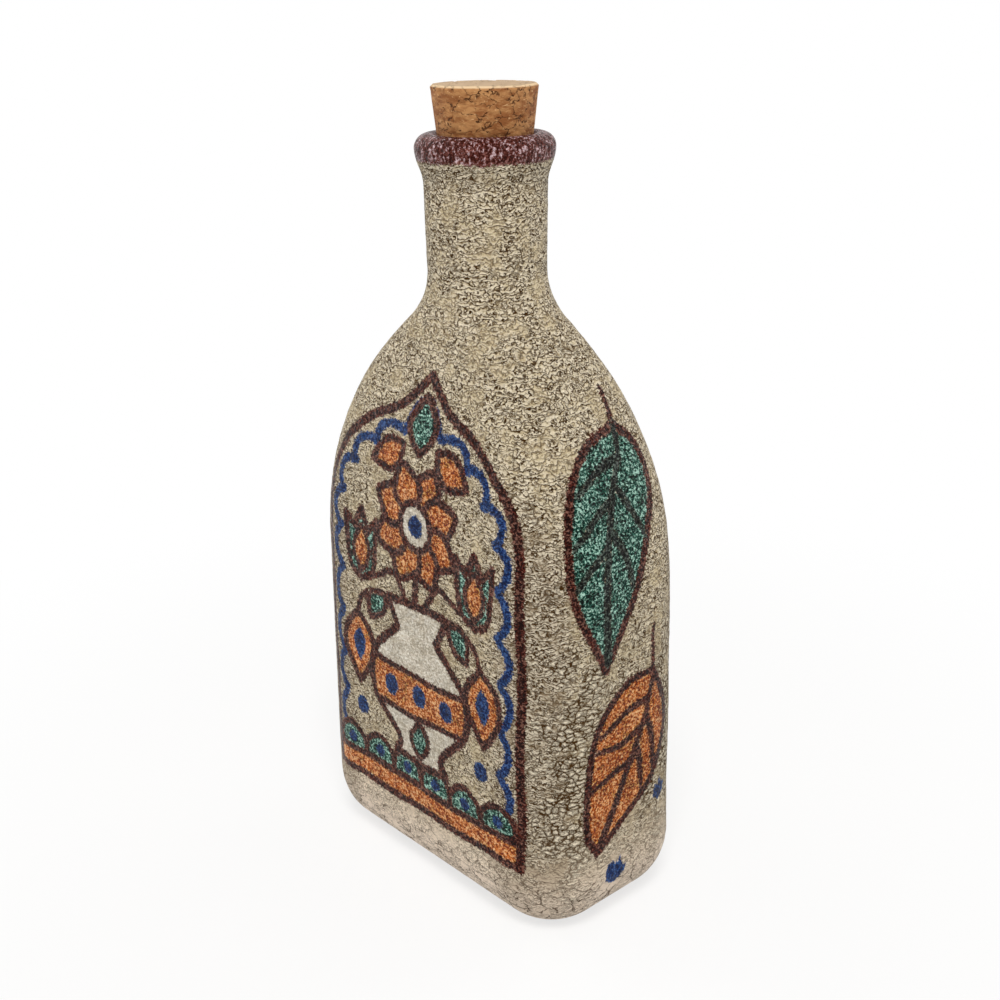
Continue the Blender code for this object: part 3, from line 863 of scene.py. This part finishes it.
# The sanded skin is pitted and slightly worn. Pits are wider than they are high.
cork_mesh.normal_update()
for point in cork_mesh.verts:
    wide = Vector((point.co.x, point.co.y, point.co.z * PIT_WIDTH_SHARE))
    pit = max(0, noise.noise(wide / PIT_LENGTH) - PIT_STARTS)
    wear = WEAR_SHARE * abs(noise.noise(wide / WEAR_LENGTH))
    point.co -= point.normal * PIT_DEPTH * min(1, pit * PIT_STEEPNESS + wear)
cork = bpy.data.objects.new("cork", bpy.data.meshes.new("cork"))
cork_mesh.to_mesh(cork.data)
cork_mesh.free()
cork.data.shade_smooth()
bpy.context.scene.collection.objects.link(cork)

# Matt and warm brown. The pattern's sizes, depths below the top and widths in from its edge are in mm.
GRANULE_SIZE = 4.4
GRANULE_SQUASH = 1.5
GRANULE_BEND = 2.6
GRANULE_BENDS_PER_MM = 0.6
GRAIN_SQUASH = 2.6
CORK_GRAIN = 3.6
FIBRES_PER_MM = 0.75
PARTS_PER_MM = 0.5
PIT_SPACING = 8.0
RIM_STARTS, RIM_ENDS = 0.6, 0.3
CUT_END_STARTS, CUT_END_ENDS = 0.9, 0.6
CORK_RELIEF = 0.00030
CORK_BROWN = "#8A552E"
CORK_TAN = "#B88554"
CORK_FIBRE = "#DDB17E"
CORK_DARK = "#4E2A12"
CORK_RIM_HIGHLIGHT = "#E4C8A0"
CUT_END = "#BFA688"
agglomerate = bpy.data.materials.new("cork_agglomerated_sanded")
agglomerate.use_nodes = True
tree = agglomerate.node_tree
shader = tree.nodes["Principled BSDF"]
where = node(tree, "TexCoord", output="Object")
in_mm = node(tree, "Mapping", [("Vector", where), ("Scale", (MM, MM, MM))])
layered = node(tree, "Mapping", [("Vector", in_mm), ("Scale", (1, 1, GRAIN_SQUASH))])

# Granules with edges bent by the pressing, each of its own tan or brown, with pale fibres
granule_bends = node(
    tree, "TexNoise",
    [("Vector", in_mm), ("Scale", GRANULE_BENDS_PER_MM), ("Detail", 3.0), ("Roughness", 0.6)],
    output="Color")
granule_bent = node(
    tree, "VectorMath", [(0, granule_bends), (1, (GRANULE_BEND, GRANULE_BEND, GRANULE_BEND)), (2, in_mm)],
    operation="MULTIPLY_ADD")
pressed = node(tree, "Mapping", [("Vector", granule_bent), ("Scale", (1, 1, GRANULE_SQUASH))])
granule = node(tree, "TexVoronoi", [("Vector", pressed), ("Scale", 1 / GRANULE_SIZE)], output="Color")
grain = node(
    tree, "TexNoise", [("Vector", layered), ("Scale", 1 / CORK_GRAIN), ("Detail", 6.0), ("Roughness", 0.7)])
grain_level = node(tree, "Math", [(0, granule), (1, 0.16), (2, grain)], operation="MULTIPLY_ADD")
grain_share = node(
    tree, "MapRange", [("Value", grain_level), ("From Min", 0.44), ("From Max", 0.72)], **SMOOTH)
layers = node(
    tree, "Mix",
    [(0, grain_share), (MIX_FIRST, colour(CORK_BROWN)), (MIX_SECOND, colour(CORK_TAN))], **COLOUR_MIX)
fibres = node(
    tree, "TexNoise",
    [("Vector", layered), ("Scale", FIBRES_PER_MM), ("Detail", 3.0), ("Roughness", 0.6),
     ("Distortion", 0.8)])
fibre_share = node(
    tree, "MapRange",
    [("Value", fibres), ("From Min", 0.60), ("From Max", 0.72), ("To Max", 0.8)], **SMOOTH)
fibred = node(
    tree, "Mix", [(0, fibre_share), (MIX_FIRST, layers), (MIX_SECOND, colour(CORK_FIBRE))], **COLOUR_MIX)

# Short dark cracks where granules part, and here and there a deep dark pit
granule_edge = node(
    tree, "TexVoronoi", [("Vector", pressed), ("Scale", 1 / GRANULE_SIZE)], feature="DISTANCE_TO_EDGE")
crack_line = node(
    tree, "MapRange",
    [("Value", granule_edge), ("From Min", 0.004), ("From Max", 0.030), *FALLING], **SMOOTH)
parting = node(tree, "TexNoise", [("Vector", in_mm), ("Scale", PARTS_PER_MM), ("Detail", 2.0)])
parted = node(tree, "MapRange", [("Value", parting), ("From Min", 0.42), ("From Max", 0.56)], **SMOOTH)
cracks = node(tree, "Math", [(0, crack_line), (1, parted)], operation="MULTIPLY")
pits = node(tree, "TexVoronoi", [("Vector", layered), ("Scale", 1 / PIT_SPACING)])
pit_edge = node(tree, "Math", [(0, fibres), (1, 0.35), (2, pits)], operation="MULTIPLY_ADD")
pit_share = node(
    tree, "MapRange", [("Value", pit_edge), ("From Min", 0.20), ("From Max", 0.27), *FALLING], **SMOOTH)
dark_share = node(tree, "Math", [(0, cracks), (1, pit_share)], operation="MAXIMUM")
side_colour = node(
    tree, "Mix", [(0, dark_share), (MIX_FIRST, fibred), (MIX_SECOND, colour(CORK_DARK))], **COLOUR_MIX)

# A painted highlight lies along the bevelled rim, and the cut end inside it is a little darker
height_mm = node(tree, "SeparateXYZ", [(0, in_mm)], output="Z")
rim = node(
    tree, "MapRange",
    [("Value", height_mm), ("From Min", CORK_TOP * MM - RIM_STARTS), ("From Max", CORK_TOP * MM - RIM_ENDS),
     ("To Max", 0.9)])
flat_mm = node(tree, "VectorMath", [(0, in_mm), (1, (1, 1, 0))], operation="MULTIPLY")
from_axis = node(tree, "VectorMath", [(0, flat_mm)], operation="LENGTH", output="Value")
cut_end = node(
    tree, "MapRange",
    [("Value", from_axis), ("From Min", cork_top_radius * MM - CUT_END_STARTS),
     ("From Max", cork_top_radius * MM - CUT_END_ENDS), *FALLING])
end_colour = node(
    tree, "Mix", [(0, cut_end), (MIX_FIRST, colour(CORK_RIM_HIGHLIGHT)), (MIX_SECOND, colour(CUT_END))], **COLOUR_MIX)
cork_colour = node(
    tree, "Mix", [(0, rim), (MIX_FIRST, side_colour), (MIX_SECOND, end_colour)], **COLOUR_MIX)
tree.links.new(cork_colour, shader.inputs["Base Color"])
shader.inputs["Roughness"].default_value = 0.75
shader.inputs["Specular IOR Level"].default_value = 0.15
cork_height = node(tree, "Math", [(0, dark_share), (1, -1.2), (2, grain)], operation="MULTIPLY_ADD")
cork_relief = node(tree, "Bump", [("Strength", 1.0), ("Distance", CORK_RELIEF), ("Height", cork_height)])
tree.links.new(cork_relief, shader.inputs["Normal"])
cork.data.materials.append(agglomerate)
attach(cork, "cork")
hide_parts("cork_stopper")


# The table
# A plain white sheet that the flask stands on. It is seen as white paper that keeps the flask's soft
# shadow near the foot, and far off it runs into the white of the room.

TABLE_REACH = 3.0
SHADOW_REACH = 0.10
SHADOW_FADE = 0.30
PAPER_WHITE = "#F0EFED"
PAPER_GLOW = 0.70


def white_rays(tree):
    """The share of a view or a reflection, which see the room and the sheet white. Light rays do not."""
    ray = node(tree, "LightPath").node.outputs
    seen = ray["Is Camera Ray"]
    for other in ("Is Glossy Ray", "Is Transmission Ray"):
        seen = node(tree, "Math", [(0, seen), (1, ray[other])], operation="MAXIMUM")
    return seen


table_mesh = bmesh.new()
bmesh.ops.create_circle(table_mesh, cap_ends=True, segments=96, radius=TABLE_REACH)
table = bpy.data.objects.new("table", bpy.data.meshes.new("table"))
table_mesh.to_mesh(table.data)
table_mesh.free()
bpy.context.scene.collection.objects.link(table)
paper = bpy.data.materials.new("paper_matt_white")
paper.use_nodes = True
tree = paper.node_tree
tree.nodes.remove(tree.nodes["Principled BSDF"])
where = node(tree, "TexCoord", output="Object")
away = node(tree, "VectorMath", [(0, where)], operation="LENGTH", output="Value")
far = node(
    tree, "MapRange",
    [("Value", away), ("From Min", SHADOW_REACH), ("From Max", SHADOW_FADE), ("To Min", PAPER_GLOW)],
    **SMOOTH)
glow_share = node(tree, "Math", [(0, white_rays(tree)), (1, far)], operation="MULTIPLY")
matt = node(tree, "BsdfDiffuse", [("Color", colour(PAPER_WHITE))])
glow = node(tree, "Emission", [("Color", (1, 1, 1, 1)), ("Strength", 1.0)])
sheet = node(tree, "MixShader", [(0, glow_share), (1, matt), (2, glow)])
tree.links.new(sheet, tree.nodes["Material Output"].inputs["Surface"])
table.data.materials.append(paper)


# Light
# A white room with one big soft light above and in front, at the level where a colour looks as it is, and
# two weak ones low behind the flask, left and right, that keep its edges as pale as its faces.

ROOM_LEVEL = 0.44
AIM = Vector((0, 0, LIP_TOP / 2))
LAMPS = {
    "soft_light": (14.7, 0.45, Vector((0.56, -0.50, 1.30))),
    "left_edge_light": (3.5, 0.60, Vector((-0.95, -0.30, 0.20))),
    "right_edge_light": (3.0, 0.60, Vector((0.20, 0.97, 0.20))),
}

room = bpy.data.worlds.new("white_room")
room.use_nodes = True
bpy.context.scene.world = room
tree = room.node_tree
level = node(tree, "Mix", [(0, white_rays(tree)), (2, ROOM_LEVEL), (3, 1.0)])
tree.links.new(level, tree.nodes["Background"].inputs["Strength"])
tree.nodes["Background"].inputs["Color"].default_value = (1, 1, 1, 1)

for name, (power, size, place) in LAMPS.items():
    lamp = bpy.data.objects.new(name, bpy.data.lights.new(name, "AREA"))
    lamp.data.energy = power
    lamp.data.size = size
    lamp.location = place
    lamp.rotation_euler = (AIM - place).to_track_quat("-Z", "Y").to_euler()
    bpy.context.scene.collection.objects.link(lamp)


# Camera
# The photograph's view: from the front's right, a little above, with the image taken as 1000 x 1000.

CAMERA_PLACE = Vector((0.26125, -0.23152, 0.23703))
CAMERA_TARGET = Vector((0.001467, 0.001635, 0.10755))
CAMERA_LENS = 49.12
CAMERA_SENSOR = 36
CAMERA_NEAREST = 0.01
CAMERA_TILT = math.radians(-0.93)

camera = bpy.data.objects.new("camera", bpy.data.cameras.new("camera"))
camera.data.lens = CAMERA_LENS
camera.data.sensor_width = CAMERA_SENSOR
camera.data.clip_start = CAMERA_NEAREST
aim = (CAMERA_TARGET - CAMERA_PLACE).to_track_quat("-Z", "Y").to_matrix().to_4x4()
camera.matrix_world = Matrix.Translation(CAMERA_PLACE) @ aim @ Matrix.Rotation(CAMERA_TILT, 4, "Z")
bpy.context.scene.collection.objects.link(camera)
bpy.context.scene.camera = camera
bpy.context.scene.view_settings.view_transform = "Standard"
